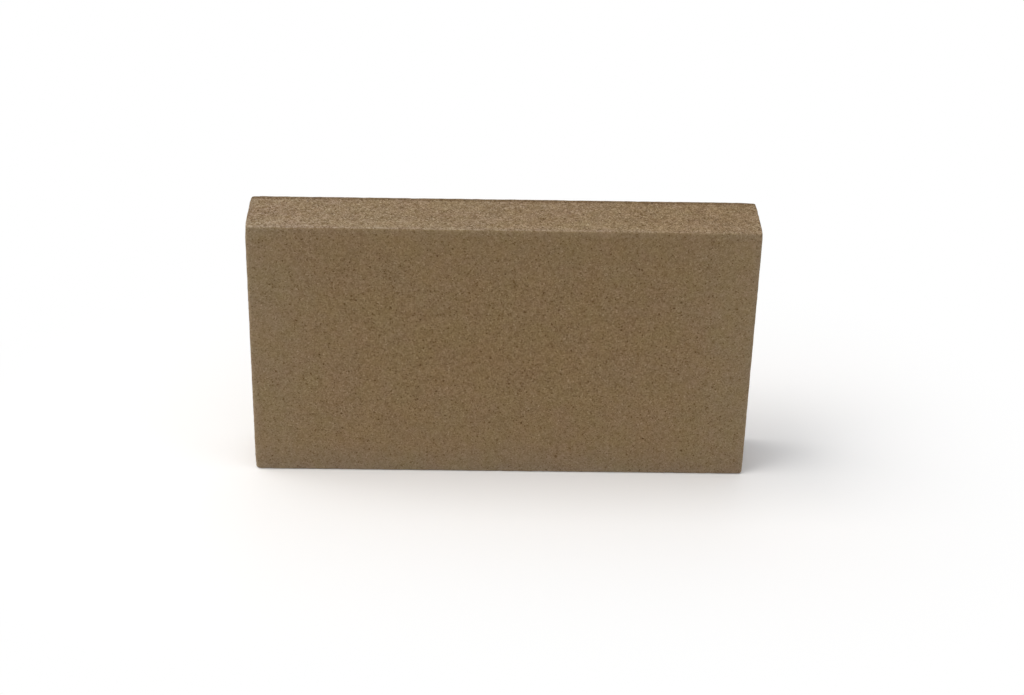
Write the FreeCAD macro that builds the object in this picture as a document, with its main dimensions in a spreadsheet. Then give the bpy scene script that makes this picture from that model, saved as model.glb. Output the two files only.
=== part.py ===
# Refractory firebrick: one pressed and fired block, standing on its long narrow edge.
# Frame: origin under the middle of the brick, +X along its length, +Y through its thickness
# from the front bed face to the back one, +Z up its height. Millimetres.
import FreeCAD, Part
import os
import Sketcher

# Driving dimensions: name, size, what it measures
DIMENSIONS = [
    ("brick_length", 228.6, "end to end, nine inches"),
    ("brick_height", 127.0, "standing edge to top edge, five inches"),
    ("brick_thickness", 31.75, "front bed face to back bed face, one and a quarter inches"),
    ("corner_radius", 2.0, "the four upright corners, as the mould leaves them"),
    ("arris_radius", 0.8, "the sharper edges round the top and the foot"),
]
FLAT = 1e-6


def add_sheet(doc):
    sheet = doc.addObject("Spreadsheet::Sheet", "Dimensions")
    for row, (name, size, note) in enumerate(DIMENSIONS, start=1):
        sheet.set(f"A{row}", name)
        sheet.set(f"B{row}", str(size))
        sheet.set(f"C{row}", note)
        sheet.setAlias(f"B{row}", name)
    doc.recompute()


def origin_plane(body, role):
    return next(feature for feature in body.Origin.OriginFeatures if feature.Role == role)


def add_plan(body):
    """The brick's footprint: a rectangle of length by thickness, centred on the origin."""
    plan = body.newObject("Sketcher::SketchObject", "BrickPlan")
    plan.AttachmentSupport = [(origin_plane(body, "XY_Plane"), "")]
    plan.MapMode = "FlatFace"
    corners = [FreeCAD.Vector(x, y, 0) for x, y in ((-1, -1), (1, -1), (1, 1), (-1, 1))]
    count = len(corners)
    for side in range(count):
        plan.addGeometry(Part.LineSegment(corners[side], corners[(side + 1) % count]), False)
    start, end = 1, 2
    for side in range(count):
        plan.addConstraint(Sketcher.Constraint("Coincident", side, end, (side + 1) % count, start))
        plan.addConstraint(Sketcher.Constraint("Vertical" if side % 2 else "Horizontal", side))
    front, right = 0, 1
    sketch_origin = (-1, 1)
    plan.addConstraint(Sketcher.Constraint("Symmetric", front, start, right, end, *sketch_origin))
    for side, name in ((front, "brick_length"), (right, "brick_thickness")):
        index = plan.addConstraint(Sketcher.Constraint("Distance", side, 1.0))
        plan.renameConstraint(index, name)
        plan.setExpression(f"Constraints.{name}", f"Dimensions.{name}")
    return plan


def add_block(body, plan):
    """The footprint carried up to the top edge."""
    block = body.newObject("PartDesign::Pad", "PressedBlock")
    block.Profile = plan
    block.setExpression("Length", "Dimensions.brick_height")
    return block


def upright_edges(shape):
    """Edges that run straight up from the foot to the top."""
    return [f"Edge{i}" for i, edge in enumerate(shape.Edges, start=1)
            if edge.BoundBox.XLength < FLAT and edge.BoundBox.YLength < FLAT]


def rim_edges(shape):
    """Edges that lie level, which are those round the top and the foot."""
    return [f"Edge{i}" for i, edge in enumerate(shape.Edges, start=1) if edge.BoundBox.ZLength < FLAT]


def add_rounding(body, base, name, find_edges, radius):
    """Rounds the base feature's edges that find_edges picks, to the sheet's radius of that name."""
    body.Document.recompute()
    rounding = body.newObject("PartDesign::Fillet", name)
    rounding.Base = (base, find_edges(base.Shape))
    rounding.setExpression("Radius", f"Dimensions.{radius}")
    return rounding


def add_firebrick(doc):
    body = doc.addObject("PartDesign::Body", "Firebrick")
    body.Label = "firebrick"
    block = add_block(body, add_plan(body))
    corners = add_rounding(body, block, "UprightCorners", upright_edges, "corner_radius")
    add_rounding(body, corners, "Arrises", rim_edges, "arris_radius")
    return body


def check(doc, pieces):
    """Stops before anything is written if an object failed or a piece is not one sound solid."""
    failed = [obj.Label for obj in doc.Objects if {"Invalid", "Error"} & set(obj.State)]
    if failed:
        raise RuntimeError(f"failed objects: {', '.join(failed)}")
    for piece in pieces:
        if piece.Shape.isNull() or not piece.Shape.isValid() or len(piece.Shape.Solids) != 1:
            raise RuntimeError(f"{piece.Label} is not one sound solid")


def write(pieces):
    os.makedirs("parts", exist_ok=True)
    for piece in pieces:
        piece.Shape.exportStep(f"parts/{piece.Label}.step")
        box = piece.Shape.optimalBoundingBox()
        print(f"{piece.Label}: {box.XLength:.2f} x {box.YLength:.2f} x {box.ZLength:.2f} mm, "
              f"{piece.Shape.Volume:.0f} mm3")


doc = FreeCAD.newDocument("RefractoryFirebrick")
add_sheet(doc)
pieces = [add_firebrick(doc)]
doc.recompute()
check(doc, pieces)
write(pieces)
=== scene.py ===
import bpy
import itertools
import math
import numpy as np
from mathutils import Matrix, Vector


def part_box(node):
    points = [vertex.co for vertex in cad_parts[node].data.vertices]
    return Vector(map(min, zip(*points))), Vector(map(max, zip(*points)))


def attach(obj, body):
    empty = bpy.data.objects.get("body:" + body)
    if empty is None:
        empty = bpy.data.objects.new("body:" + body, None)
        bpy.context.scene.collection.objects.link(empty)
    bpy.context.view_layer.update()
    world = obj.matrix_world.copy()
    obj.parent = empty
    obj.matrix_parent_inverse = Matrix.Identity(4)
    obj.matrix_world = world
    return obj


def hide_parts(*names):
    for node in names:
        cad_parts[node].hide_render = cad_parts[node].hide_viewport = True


# A firebrick standing on its long narrow edge: a pressed block with smooth bed faces, open-grained edges and
# slightly worn arrises. Lengths in the dictionaries are millimetres, colours are sRGB from 0 to 255.

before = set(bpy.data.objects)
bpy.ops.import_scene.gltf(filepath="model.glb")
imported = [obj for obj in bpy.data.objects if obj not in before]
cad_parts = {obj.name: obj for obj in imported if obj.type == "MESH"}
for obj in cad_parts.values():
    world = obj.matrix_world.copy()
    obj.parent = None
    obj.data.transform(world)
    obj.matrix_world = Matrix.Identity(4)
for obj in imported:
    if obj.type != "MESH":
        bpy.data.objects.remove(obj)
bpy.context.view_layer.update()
mm = 0.001

firebrick = {
    "cells": (236, 46, 132),  # grid cells along the length, the thickness and the height
    "edgeStep": 0.35,  # width of a cell beside an edge
    "edgeCells": 8,  # cells of that width before they widen
    "growCells": 8,  # cells over which they widen
    "cornerRadius": 2.0,  # upright corners
    "arrisRadius": 0.8,  # edges round the top and the foot
    "seed": 11,
    "wave": (70.0, 0.06),  # cell size and depth of the slow unevenness
    "bedGrain": (3.2, 0.05),  # and of the grain on the bed faces
    "openGrain": ((3.0, 0.10), (1.7, 0.10)),  # and of the two grains on the open faces
    "openFrom": (0.15, 0.8),  # where the open grain starts and is full, in from the bed faces
    "openPits": {"cell": 4.2, "share": 0.6, "radius": (0.7, 1.3), "depth": 0.35},
    "bedPits": {"cell": 7.5, "share": 0.4, "radius": (0.6, 1.1), "depth": 0.18},
    "crumbReach": 1.0,  # how far from an edge it crumbles
    "crumbs": ((1.6, 0.18), (4.5, 0.12)),  # cell sizes and depths
    "cornerReach": 3.5,  # how far from the eight corners they are rubbed down
    "cornerWear": (9.0, 1.2),  # cell size and depth
    "frontWear": 12.0,  # how far the open faces are rubbed pale from the front bed face
    "dustReach": 45.0,  # how far in from their ends and foot dust dulls the bed faces
    "dustTop": 15.0,  # how much less far from the top
}


def gridLines(cells, half):
    # Positions from -half to half, mirrored about 0. From the edge inwards the step stays at the edge step,
    # then widens in a straight line to the step that makes the sum come out at half.
    rank = np.arange(cells // 2)
    widened = np.clip((rank - firebrick["edgeCells"]) / firebrick["growCells"], 0.0, 1.0)
    faceStep = (half - firebrick["edgeStep"] * (1 - widened).sum()) / widened.sum()
    steps = firebrick["edgeStep"] * (1 - widened) + faceStep * widened
    side = half - np.concatenate(([0.0], np.cumsum(steps)))
    return np.concatenate((-side[:-1], [0.0], side[-2::-1]))


def boxShell(lines):
    # The points of a box lattice that lie on its six sides, and the quads between them, facing outwards.
    # Neighbouring sides share their edge points, so the shell is closed.
    counts = [len(line) for line in lines]
    lattice = np.stack(np.meshgrid(*lines, indexing="ij"), -1)
    rank = np.indices(counts)
    onSide = np.zeros(counts, bool)
    for axis, count in enumerate(counts):
        onSide |= (rank[axis] == 0) | (rank[axis] == count - 1)
    number = np.full(counts, -1)
    number[onSide] = np.arange(onSide.sum())
    quads = []
    for axis, end in itertools.product(range(3), (0, -1)):
        sheet = np.take(number, end, axis)
        quad = np.stack([sheet[:-1, :-1], sheet[1:, :-1], sheet[1:, 1:], sheet[:-1, 1:]], -1).reshape(-1, 4)
        outward = (axis != 1) == (end == -1)  # sheets across Y turn the other way
        quads.append(quad if outward else quad[:, ::-1])
    return lattice[onSide], np.concatenate(quads)


def roundBlock(points, half):
    # Rounds the box in two steps. In plan, what lies in a corner square is drawn in along its ray until the
    # square is a quarter disc of the corner radius. Then the square along the rim, in the plane of the
    # outline's normal and the height, is drawn in to a quarter disc of the arris radius in the same way.
    corner, arris = firebrick["cornerRadius"], firebrick["arrisRadius"]
    tiny = 1e-9  # keeps a division from 0 / 0
    core = half[:2] - corner
    middle = np.clip(points[:, :2], -core, core)
    out = points[:, :2] - middle
    out *= (np.abs(out).max(1) / np.maximum(np.hypot(*out.T), tiny))[:, None]
    reach = np.hypot(*out.T)
    outward = out / np.maximum(reach, tiny)[:, None]
    overRim = reach - (corner - arris)
    overTop = np.abs(points[:, 2]) - (half[2] - arris)
    inRim = (overRim > 0) & (overTop > 0)
    drawn = np.where(inRim, np.maximum(overRim, overTop) / np.maximum(np.hypot(overRim, overTop), tiny), 1.0)
    plan = middle + out + outward * (overRim * (drawn - 1))[:, None]
    height = np.where(inRim, np.sign(points[:, 2]) * (half[2] - arris + overTop * drawn), points[:, 2])
    return np.column_stack((plan, height))


def outwardNormals(points, quads):
    # Each point's normal: the sum of its quads' diagonals' cross products, brought to length 1.
    first, second, third, fourth = (points[corner] for corner in quads.T)
    across = np.cross(third - first, fourth - second)
    normals = np.zeros_like(points)
    for corner in quads.T:
        np.add.at(normals, corner, across)
    return normals / np.linalg.norm(normals, axis=1, keepdims=True)


def latticeNumbers(corner, seed, columns=1):
    # Seeded numbers from 0 to 1 for the corners of a cubic lattice, by chained look-ups in a shuffled list.
    listLength = 1024
    rng = np.random.default_rng(seed)
    shuffled = rng.permutation(listLength)
    numbers = rng.uniform(0.0, 1.0, (listLength, columns))
    place = np.zeros(len(corner), int)
    for axis in range(3):
        place = shuffled[(place + corner[:, axis]) % listLength]
    return numbers[place]


def smoothStep(low, high, value):
    # 0 below low, 1 above high, and 3t^2 - 2t^3 between them.
    t = np.clip((value - low) / (high - low), 0.0, 1.0)
    return t * t * (3 - 2 * t)


def smoothNoise(points, cell, seed):
    # Value noise from 0 to 1: the numbers of the eight lattice corners round a point, weighted along each
    # axis by the smooth step from one corner to the next.
    scaled = points / cell
    low = np.floor(scaled).astype(int)
    upper = smoothStep(0.0, 1.0, scaled - low)
    total = np.zeros(len(points))
    for corner in itertools.product((0, 1), repeat=3):
        weight = np.where(corner, upper, 1 - upper).prod(1)
        total += weight * latticeNumbers(low + corner, seed)[:, 0]
    return total


def roundPits(points, cell, share, radius, depth, seed):
    # Hollows at random points of a jittered lattice: each is (1 - d^2 / r^2)^2 of its depth at the distance
    # d, and where two meet the deeper one counts.
    low = np.floor(points / cell).astype(int)
    deepest = np.zeros(len(points))
    for step in itertools.product((-1, 0, 1), repeat=3):
        draws = latticeNumbers(low + step, seed, columns=5)  # three for its place, then size and chance
        centre = (low + step + draws[:, :3]) * cell
        sizeDraw, chanceDraw = draws[:, 3:].T
        size = radius[0] + (radius[1] - radius[0]) * sizeDraw
        near = np.clip(1 - ((points - centre) ** 2).sum(1) / size**2, 0.0, 1.0) ** 2
        deepest = np.maximum(deepest, np.where(chanceDraw < share, near, 0.0))
    return depth * deepest


def sinkBrick(points, half):
    # How far each point lies under the block's plain surface, and what the finish needs to know of each
    # point. Crumbs and worn corners are squared noise that fades as exp(-(gap / reach)^2) from the edges and
    # from the eight corners. Dust is 1 at the ends and the foot of the bed faces, less at their top, and
    # falls evenly to 0 at its reach.
    seeds = itertools.count(firebrick["seed"])  # one for each noise

    def layer(cell, depth, power=1):
        # The depth times a noise of its own, which is raised to the power.
        return depth * smoothNoise(points, cell, next(seeds)) ** power

    edgeGap, cornerGap = np.sort(half - np.abs(points), axis=1)[:, 1:].T  # the first is 0 on any face
    openFace = smoothStep(*firebrick["openFrom"], half[1] - np.abs(points[:, 1]))
    sunk = layer(*firebrick["wave"])
    sunk += (1 - openFace) * layer(*firebrick["bedGrain"])
    sunk += openFace * sum(layer(*size) for size in firebrick["openGrain"])
    pits = openFace * roundPits(points, seed=next(seeds), **firebrick["openPits"])
    pits += (1 - openFace) * roundPits(points, seed=next(seeds), **firebrick["bedPits"])
    atEdge = np.exp(-((edgeGap / firebrick["crumbReach"]) ** 2))
    sunk += atEdge * sum(layer(*size, power=2) for size in firebrick["crumbs"])
    atCorner = np.exp(-((cornerGap / firebrick["cornerReach"]) ** 2))
    sunk += atCorner * layer(*firebrick["cornerWear"], power=2)
    fromFront = half[1] + points[:, 1]
    fromRim = np.minimum(half[0] - np.abs(points[:, 0]), half[2] + points[:, 2])
    fromRim = np.minimum(fromRim, half[2] - points[:, 2] + firebrick["dustTop"])
    shares = {
        "openGrain": openFace,
        "pitShare": pits / firebrick["openPits"]["depth"],
        "edgeGap": edgeGap,
        "backGap": np.hypot(half[1] - points[:, 1], half[2] - points[:, 2]),  # to the arris behind the top
        "frontWear": openFace * np.clip(1 - fromFront / firebrick["frontWear"], 0.0, 1.0),
        "dust": (1 - openFace) * np.clip(1 - fromRim / firebrick["dustReach"], 0.0, 1.0),
    }
    return sunk + pits, shares


def makeBrick():
    # The rounded block with each point moved in along its normal by its relief, and the shares as attributes.
    low, high = (np.array(corner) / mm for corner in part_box("firebrick"))
    half, middle = (high - low) / 2, (high + low) / 2
    lines = [gridLines(cells, size) for cells, size in zip(firebrick["cells"], half)]
    flat, quads = boxShell(lines)
    smooth = roundBlock(flat, half)
    sunk, shares = sinkBrick(flat, half)
    points = smooth - outwardNormals(smooth, quads) * sunk[:, None] + middle
    mesh = bpy.data.meshes.new("firebrick_visual")
    mesh.from_pydata((points * mm).tolist(), [], quads.tolist())
    for name, values in shares.items():
        mesh.attributes.new(name, "FLOAT", "POINT").data.foreach_set("value", values.astype(np.float32))
    mesh.shade_smooth()
    brick = bpy.data.objects.new("firebrick_visual", mesh)
    bpy.context.scene.collection.objects.link(brick)
    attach(brick, "root")
    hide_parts("firebrick")
    print("brick:", len(points), "points,", 2 * len(quads), "triangles, deepest", round(sunk.max(), 2), "mm")
    return brick, half


def linear(colour):
    # sRGB from 0 to 255 to linear light: v / 12.92 when dark, else ((v + 0.055) / 1.055)^2.4.
    v = np.array(colour) / 255
    return np.where(v <= 0.04045, v / 12.92, ((v + 0.055) / 1.055) ** 2.4).tolist()


def rgba(colour):
    # An sRGB colour as a node socket takes it.
    return (*linear(colour), 1.0)


def addNode(tree, kind, inputs=None, **settings):
    # A new node with its settings and inputs. An input is a plain value, or a socket to link.
    made = tree.nodes.new(kind)
    for name, value in settings.items():
        setattr(made, name, value)
    for name, value in (inputs or {}).items():
        if isinstance(value, bpy.types.NodeSocket):
            tree.links.new(value, made.inputs[name])
        else:
            made.inputs[name].default_value = value
    return made


def maths(tree, operation, *values):
    # One step of arithmetic on numbers.
    return addNode(tree, "ShaderNodeMath", dict(enumerate(values)), operation=operation).outputs[0]


def vectorMaths(tree, operation, *values):
    # One step of arithmetic on places or colours.
    return addNode(tree, "ShaderNodeVectorMath", dict(enumerate(values)), operation=operation).outputs[0]


def lengthOf(tree, vector):
    # How long a vector is.
    return addNode(tree, "ShaderNodeVectorMath", {0: vector}, operation="LENGTH").outputs["Value"]


def added(tree, *values):
    # The sum of several numbers.
    total = values[0]
    for value in values[1:]:
        total = maths(tree, "ADD", total, value)
    return total


def spread(tree, value, low, high):
    # 0 at low, 1 at high and 3t^2 - 2t^3 between them. Low may be the larger one.
    inputs = {"Value": value, "From Min": low, "From Max": high}
    return addNode(tree, "ShaderNodeMapRange", inputs, interpolation_type="SMOOTHSTEP").outputs[0]


def between(tree, factor, first, second):
    # A number that goes from the first to the second as the factor goes from 0 to 1. The Mix node keeps
    # numbers in its sockets 2 and 3, and colours in 6 and 7.
    return addNode(tree, "ShaderNodeMix", {0: factor, 2: first, 3: second}).outputs[0]


def blendColour(tree, factor, first, second):
    # The same for colours.
    return addNode(tree, "ShaderNodeMix", {0: factor, 6: first, 7: second}, data_type="RGBA").outputs[2]


def noiseAt(tree, place, cell):
    # Cloudy noise with lumps about as large as the cell. Its colour is three such noises.
    return addNode(tree, "ShaderNodeTexNoise", {"Vector": place, "Scale": 1 / (cell * mm)}).outputs


def cellsAt(tree, place, cell):
    # Cells round scattered points: the distance to a point, and three draws for its cell. The texture's own
    # colour only repeats where the point lies, so it is shuffled first.
    cells = addNode(tree, "ShaderNodeTexVoronoi", {"Vector": place, "Scale": 1 / (cell * mm)}).outputs
    shuffled = addNode(tree, "ShaderNodeTexWhiteNoise", {"Vector": cells["Color"]}).outputs["Color"]
    return cells["Distance"], addNode(tree, "ShaderNodeSeparateColor", {"Color": shuffled}).outputs


firedClay = {  # a step is about one sRGB level
    "tone": (133.5, 110.5, 78.5),  # middle tone
    "toneReach": 60,  # how many steps the tones go lighter and darker
    "toneStep": (0.95, 1.0, 1.01),  # how much of a step goes to red, green and blue
    "toneStops": 7,  # colours in the ramp of tones
    "lowTone": (135.5, 112.5, 81.1),  # the bed faces are a little paler below than above: painted light from the floor
    "highTone": (131.3, 108.9, 76.8),
    "heartTone": (132.5, 108.4, 74.3),  # they are warmer in the middle
    "endTone": (134.6, 114.1, 84.2),  # they pale towards their ends
    "endReach": 40.0,
    "footReflectionTone": (132.3, 112.6, 85.2),  # and turn greyer along the foot: painted cool light reflected from the floor
    "footReflectionReach": 18.0,
    "leftTone": (138, 117.2, 90),  # the open faces are a little greyer and paler towards the left end: partly their own tone, partly painted light from the left
    "rightTone": (133.3, 110.8, 79.8),
    "rimTone": (134.3, 112.3, 82.5),  # all faces are a little greyer along their edges
    "rimReach": 5.0,
    "patches": ((16.0, 0.67), (5.0, 0.33)),  # sizes of the patches of another hue, and their shares
    "patchRange": (0.33, 0.67),  # the noise at which a patch has one hue of its pair, and the other
    "hues": (
        ((133.5, 110.85, 76.7), (133.5, 110.15, 80.3)),  # yellower and greyer
        ((134.3, 110.1, 78.5), (132.7, 110.9, 78.5)),  # ruddier and greener
    ),
    "wobble": (1.5, 0.8),  # size and reach of the wobble that makes the grains uneven
    "grain": {"cell": 0.54, "steps": (15.3, 25.5)},  # steps lighter and darker on bed and on open faces
    "grog": {"cell": 2.0, "steps": (1.75, 7.0)},  # the same for the coarse grains
    "odd": (0.04, 17.5, -32.5),  # share of pale and of dark grains, and how much paler and darker they are
    # pinholes are tiny pores, darkened with painted shade
    "pinholes": {"cell": 0.8, "radius": (0.10, 0.26), "chance": 0.6, "steps": -48.0},
    # specks are partly dark grains of the clay and partly painted shade in pores
    "specks": {"cell": 1.5, "radius": (0.18, 0.52), "chance": 0.52, "steps": -61.0},
    "dotRim": 0.4,  # part of a dot's radius over which it deepens
    "dotFaint": 0.4,  # the faintest dot against the darkest
    "dustDulls": 0.34,  # how much of the grain is hidden where the dust is 1
    "pitShadeSteps": -20.0,  # painted shade in the deepest pits
    "frontWearSteps": 9.0,  # on the open faces beside the front bed face
    "breakCell": 1.2,  # size of the breaks in worn arrises and in the painted shade of the back arris
    "wornEdge": {"breaks": 2.0, "fade": (2.6, 0.9), "steps": (3.0, 8.0)},  # steps on bed and on open faces
    "backShadeLine": {"breaks": 1.6, "fade": (4.6, 3.2), "steps": -22.0},  # painted shade: a dark line along the back arris of the top, which turns away from the light
    "bump": (0.16, 0.30),  # heights on bed and open faces of the relief that is finer than the mesh
    "poreDepth": 1.2,  # against the height of a grain
    "roughness": (0.84, 0.98),  # each coarse grain has its own between these
    "diffuseRoughness": 0.6,
    "specular": 0.3,
}


def toneRamp(tree, steps):
    # Colours of the middle tone made evenly lighter and darker in sRGB, looked up by the number of steps.
    reach = firedClay["toneReach"]
    ramp = addNode(tree, "ShaderNodeValToRGB", {"Fac": maths(tree, "MULTIPLY_ADD", steps, 0.5 / reach, 0.5)})
    stops = ramp.color_ramp.elements
    while len(stops) < firedClay["toneStops"]:
        stops.new(1.0)
    for stop, place in zip(stops, np.linspace(0.0, 1.0, len(stops))):
        change = np.array(firedClay["toneStep"]) * reach * (2 * place - 1)
        stop.position = place
        stop.color = rgba(np.array(firedClay["tone"]) + change)
    return ramp.outputs[0]


def tint(colour):
    # What the middle tone is multiplied by to give a colour.
    return (*np.divide(linear(colour), linear(firedClay["tone"])), 1.0)


def bedTint(tree, place, along, half):
    # Bed faces change evenly from the foot to the top, paler below with painted light from the floor, are
    # warmer in the middle, pale at the ends and greyer along the foot with painted cool light reflected from
    # the floor.
    # The warmth fades from the middle to the ellipse that touches the face's four edges.
    end = half[0] * mm
    height = 2 * half[2] * mm
    # paler below than above: painted light from the floor
    upwards = maths(tree, "DIVIDE", along["Z"], height)
    bed = blendColour(tree, upwards, tint(firedClay["lowTone"]), tint(firedClay["highTone"]))
    fromHeart = vectorMaths(tree, "MULTIPLY_ADD", place, (1 / end, 0.0, 2 / height), (0.0, 0.0, -1.0))
    atHeart = spread(tree, lengthOf(tree, fromHeart), 1.0, 0.0)
    heart = blendColour(tree, atHeart, tint(firedClay["tone"]), tint(firedClay["heartTone"]))
    bed = vectorMaths(tree, "MULTIPLY", bed, heart)
    atEnd = spread(tree, maths(tree, "ABSOLUTE", along["X"]), end - firedClay["endReach"] * mm, end)
    bed = blendColour(tree, atEnd, bed, tint(firedClay["endTone"]))
    # painted cool light reflected from the floor along the foot
    atFoot = spread(tree, along["Z"], firedClay["footReflectionReach"] * mm, 0.0)
    return blendColour(tree, atFoot, bed, tint(firedClay["footReflectionTone"]))


def openTint(tree, along, half):
    # Open faces change evenly from the left end to the right one: their own tone and painted light from the
    # left.
    rightwards = maths(tree, "MULTIPLY_ADD", along["X"], 0.5 / (half[0] * mm), 0.5)
    return blendColour(tree, rightwards, tint(firedClay["leftTone"]), tint(firedClay["rightTone"]))


def hueTints(tree, place):
    # Patches that swing between two hues, each pair by a cloudy noise of its own.
    clouds = (0.0, 0.0, 0.0)
    for cell, part in firedClay["patches"]:
        clouds = vectorMaths(tree, "MULTIPLY_ADD", noiseAt(tree, place, cell)["Color"], (part,) * 3, clouds)
    swings = addNode(tree, "ShaderNodeSeparateXYZ", {0: clouds}).outputs
    for swing, pair in zip(swings, firedClay["hues"]):
        yield blendColour(tree, spread(tree, swing, *firedClay["patchRange"]), *map(tint, pair))


def slowTints(tree, place, share, half):
    # The product of all slow changes of tone, painted light among them.
    along = addNode(tree, "ShaderNodeSeparateXYZ", {0: place}).outputs
    bed = bedTint(tree, place, along, half)
    clay = blendColour(tree, share["openGrain"], bed, openTint(tree, along, half))
    atRim = spread(tree, share["edgeGap"], firedClay["rimReach"], 0.0)
    rim = blendColour(tree, atRim, tint(firedClay["tone"]), tint(firedClay["rimTone"]))
    for tones in (rim, *hueTints(tree, place)):
        clay = vectorMaths(tree, "MULTIPLY", clay, tones)
    return clay


def unevenPlace(tree, place):
    # The place, moved by up to the wobble's reach each way.
    cell, reach = firedClay["wobble"]
    noise = noiseAt(tree, place, cell)["Color"]
    moved = vectorMaths(tree, "MULTIPLY_ADD", noise, (2 * reach * mm,) * 3, (-reach * mm,) * 3)
    return vectorMaths(tree, "ADD", place, moved)


def grains(tree, place, share, cell, steps):
    # Each cell is a grain with its own tone and its own height, highest in its middle, and a spare draw.
    distance, (tone, height, spare) = cellsAt(tree, place, cell)
    swing = maths(tree, "MULTIPLY_ADD", tone, 2.0, -1.0)  # from -1 to 1
    shade = maths(tree, "MULTIPLY", swing, between(tree, share["openGrain"], *steps))
    dome = maths(tree, "MULTIPLY", maths(tree, "SUBTRACT", 1.0, distance), height)
    return shade, dome, spare


def oddSteps(tree, draw):
    # The few grains at the two ends of the draw are pale or dark.
    part, pale, dark = firedClay["odd"]
    paleSteps = maths(tree, "MULTIPLY", maths(tree, "LESS_THAN", draw, part), pale)
    return maths(tree, "MULTIPLY_ADD", maths(tree, "GREATER_THAN", draw, 1 - part), dark, paleSteps)


def dots(tree, place, cell, radius, chance, steps):
    # 1 inside a dot and 0 outside, by the distance to the nearest cell point against a radius drawn for the
    # cell, and the steps that the dot darkens by.
    distance, (sizeDraw, chanceDraw, faintDraw) = cellsAt(tree, place, cell)
    low, high = (r / cell for r in radius)
    size = maths(tree, "MULTIPLY_ADD", sizeDraw, high - low, low)
    inside = maths(tree, "SUBTRACT", 1.0, maths(tree, "DIVIDE", distance, size))
    there = maths(tree, "LESS_THAN", chanceDraw, chance)
    dot = maths(tree, "MULTIPLY", spread(tree, inside, 0.0, firedClay["dotRim"]), there)
    depth = between(tree, faintDraw, firedClay["dotFaint"] * steps, steps)
    return dot, maths(tree, "MULTIPLY", dot, depth)


def wearAndShadeSteps(tree, place, share):
    # Arrises rubbed pale in broken stretches, a paler front part of the open faces and a broken dark back
    # arris of painted shade. A noise added to the gap from the arris makes the breaks.
    broken = noiseAt(tree, place, firedClay["breakCell"])[0]
    edge, line = firedClay["wornEdge"], firedClay["backShadeLine"]
    wearAndShade = spread(tree, maths(tree, "MULTIPLY_ADD", broken, edge["breaks"], share["edgeGap"]), *edge["fade"])
    # painted shade: a broken dark line along the back arris of the top
    dark = spread(tree, maths(tree, "MULTIPLY_ADD", broken, line["breaks"], share["backGap"]), *line["fade"])
    return added(
        tree,
        maths(tree, "MULTIPLY", wearAndShade, between(tree, share["openGrain"], *edge["steps"])),
        maths(tree, "MULTIPLY", dark, maths(tree, "MULTIPLY", share["openGrain"], line["steps"])),
        maths(tree, "MULTIPLY", share["frontWear"], firedClay["frontWearSteps"]),
    )


def firedClayMaterial(half):
    # Matte clay of grains, pinholes and specks, which dust dulls, with painted shade in the pinholes, the
    # pits and along the back arris, and partly in the specks. Its colour is a tone ramp, looked up by the sum
    # of all steps, times the slow tints, which hold painted light from the floor on the bed faces and, in
    # part, from the left on the open faces.
    material = bpy.data.materials.new("fired_clay")
    material.use_nodes = True
    tree = material.node_tree
    tree.nodes.clear()
    place = addNode(tree, "ShaderNodeTexCoord").outputs["Object"]
    share = {}
    for name in ("openGrain", "pitShare", "edgeGap", "backGap", "frontWear", "dust"):
        share[name] = addNode(tree, "ShaderNodeAttribute", attribute_name=name).outputs["Fac"]
    uneven = unevenPlace(tree, place)
    grainSteps, grainDome, oddDraw = grains(tree, uneven, share, **firedClay["grain"])
    grogSteps, grogDome, polish = grains(tree, uneven, share, **firedClay["grog"])
    # the pinholes' darkening is painted shade in tiny pores
    pinholes, pinholeShadeSteps = dots(tree, uneven, **firedClay["pinholes"])
    specks, speckAndShadeSteps = dots(tree, uneven, **firedClay["specks"])
    # painted shade, darkest in the deepest pits of the mesh
    pitShadeSteps = maths(tree, "MULTIPLY", share["pitShare"], firedClay["pitShadeSteps"])
    # worn arrises rubbed pale, and the painted shade of the back arris
    wearAndShade = wearAndShadeSteps(tree, place, share)
    clear = maths(tree, "MULTIPLY_ADD", share["dust"], -firedClay["dustDulls"], 1.0)
    steps = added(tree, grainSteps, grogSteps, oddSteps(tree, oddDraw), pinholeShadeSteps, speckAndShadeSteps)
    steps = added(tree, maths(tree, "MULTIPLY", steps, clear), pitShadeSteps, wearAndShade)
    colour = vectorMaths(tree, "MULTIPLY", toneRamp(tree, steps), slowTints(tree, place, share, half))

    # relief that is finer than the mesh
    openGrog = maths(tree, "MULTIPLY", grogDome, share["openGrain"])
    pores = maths(tree, "MULTIPLY", maths(tree, "MAXIMUM", pinholes, specks), -firedClay["poreDepth"])
    lumps = maths(tree, "MULTIPLY", added(tree, grainDome, openGrog, pores), clear)
    height = maths(tree, "MULTIPLY", lumps, between(tree, share["openGrain"], *firedClay["bump"]))
    bump = addNode(tree, "ShaderNodeBump", {"Height": height, "Strength": 1.0, "Distance": mm})
    shader = addNode(tree, "ShaderNodeBsdfPrincipled", {
        "Base Color": colour,
        "Roughness": between(tree, polish, *firedClay["roughness"]),
        "Normal": bump.outputs[0],
        "Diffuse Roughness": firedClay["diffuseRoughness"],
        "Specular IOR Level": firedClay["specular"],
    })
    addNode(tree, "ShaderNodeOutputMaterial", {"Surface": shader.outputs[0]})
    print("fired clay:", len(tree.nodes), "nodes")
    return material


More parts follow.
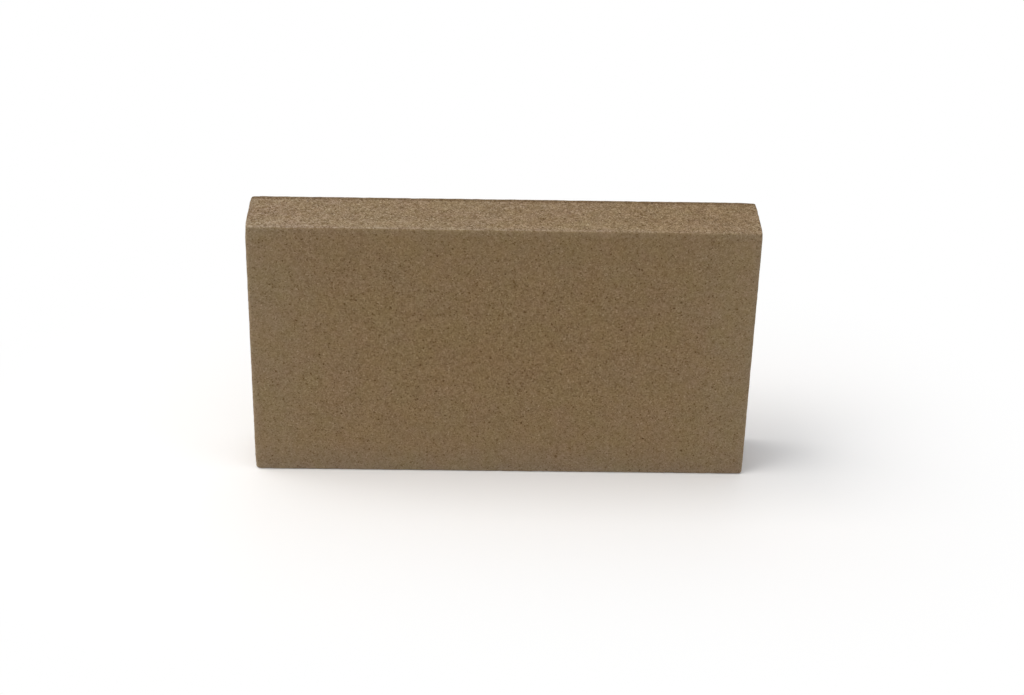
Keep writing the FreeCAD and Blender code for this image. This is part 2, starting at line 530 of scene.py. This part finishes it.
studio = {  # places and sizes in metres
    "floorReach": 6.0,  # from the middle to the floor's rim
    "floor": (246, 246, 246),
    "whiteFrom": (0.0, 0.16),  # how far from the brick the seen floor starts to turn white and is white
    "ambient": 0.5,  # the world's light on the brick, against the white that is seen
    "aim": (0.0, 0.0, 0.06),
    "lamps": {  # place, side of the square, watts, colour
        "key_lamp": ((-0.6, -0.1, 1.2), 0.9, 11.85, (255, 251, 246)),
        "front_lamp": ((0.2, -1.8, 0.6), 1.2, 3.65, (246, 248, 255)),
        "right_lamp": ((1.4, -0.5, 0.7), 1.0, 3.9, (246, 248, 255)),
        "back_lamp": ((0.2, 1.8, 1.0), 1.2, 4.0, (246, 248, 255)),
    },
}


def seenRays(tree):
    # 1 for what the camera sees, straight or in a shine or through glass.
    path = addNode(tree, "ShaderNodeLightPath").outputs
    seen = maths(tree, "MAXIMUM", path["Is Camera Ray"], path["Is Glossy Ray"])
    return maths(tree, "MAXIMUM", seen, path["Is Transmission Ray"])


def makeFloor(half):
    # A square at the brick's foot that keeps its shadow near the brick and is seen white further out, by the
    # distance from the brick's footprint: the length of max(|place| - half, 0).
    reach = studio["floorReach"]
    corners = [(-reach, -reach, 0), (reach, -reach, 0), (reach, reach, 0), (-reach, reach, 0)]
    mesh = bpy.data.meshes.new("floor")
    mesh.from_pydata(corners, [], [(0, 1, 2, 3)])
    floor = bpy.data.objects.new("floor", mesh)
    bpy.context.scene.collection.objects.link(floor)
    material = bpy.data.materials.new("floor_white")
    material.use_nodes = True
    tree = material.node_tree
    tree.nodes.clear()
    place = addNode(tree, "ShaderNodeTexCoord").outputs["Object"]
    footprint = (half[0] * mm, half[1] * mm, 0.0)
    beyond = vectorMaths(tree, "SUBTRACT", vectorMaths(tree, "ABSOLUTE", place), footprint)
    beyond = vectorMaths(tree, "MAXIMUM", beyond, (0.0, 0.0, 0.0))
    white = spread(tree, lengthOf(tree, beyond), *studio["whiteFrom"])
    white = maths(tree, "MULTIPLY", seenRays(tree), white)
    lit = addNode(tree, "ShaderNodeBsdfDiffuse", {"Color": rgba(studio["floor"])}).outputs[0]
    glow = addNode(tree, "ShaderNodeEmission", {"Strength": 1.0}).outputs[0]
    mixed = addNode(tree, "ShaderNodeMixShader", {0: white, 1: lit, 2: glow})
    addNode(tree, "ShaderNodeOutputMaterial", {"Surface": mixed.outputs[0]})
    mesh.materials.append(material)
    print("floor:", 2 * reach, "m square")


def makeLamps():
    # Square soft lamps, all turned to the middle of the brick.
    for name, (place, side, watts, colour) in studio["lamps"].items():
        lamp = bpy.data.lights.new(name, "AREA")
        lamp.size = side
        lamp.energy = watts
        lamp.color = linear(colour)
        holder = bpy.data.objects.new(name, lamp)
        holder.location = place
        holder.rotation_euler = (Vector(studio["aim"]) - Vector(place)).to_track_quat("-Z", "Y").to_euler()
        bpy.context.scene.collection.objects.link(holder)
    print("lamps:", *studio["lamps"])


def makeWorld():
    # White where it is seen, and dimmer as light on the brick.
    world = bpy.data.worlds.new("studio_world")
    bpy.context.scene.world = world
    world.use_nodes = True
    tree = world.node_tree
    tree.nodes.clear()
    strength = between(tree, seenRays(tree), studio["ambient"], 1.0)
    background = addNode(tree, "ShaderNodeBackground", {"Color": (1.0, 1.0, 1.0, 1.0), "Strength": strength})
    addNode(tree, "ShaderNodeOutputWorld", {"Surface": background.outputs[0]})
    print("world: white, with light of", studio["ambient"])


cameraView = {
    "place": (-15.4, -848.9, 555.3),
    "heading": 1.37,  # degrees to the right of straight ahead
    "down": 30.34,  # degrees below level
    "roll": 1.41,  # degrees
    "lens": 74.85,
}


def makeCamera():
    # Looks along +Y, then is rolled, tipped down and turned to the right.
    data = bpy.data.cameras.new("photo_camera")
    data.lens = cameraView["lens"]
    camera = bpy.data.objects.new("photo_camera", data)
    turn = Matrix.Rotation(-math.radians(cameraView["heading"]), 4, "Z")
    tilt = Matrix.Rotation(math.radians(90 - cameraView["down"]), 4, "X")
    roll = Matrix.Rotation(math.radians(cameraView["roll"]), 4, "Z")
    camera.matrix_world = Matrix.Translation(Vector(cameraView["place"]) * mm) @ turn @ tilt @ roll
    bpy.context.scene.collection.objects.link(camera)
    bpy.context.scene.camera = camera
    print("camera:", data.lens, "mm lens")


brick, brickHalf = makeBrick()
brick.data.materials.append(firedClayMaterial(brickHalf))
makeFloor(brickHalf)
makeLamps()
makeWorld()
makeCamera()
bpy.context.scene.view_settings.view_transform = "Standard"
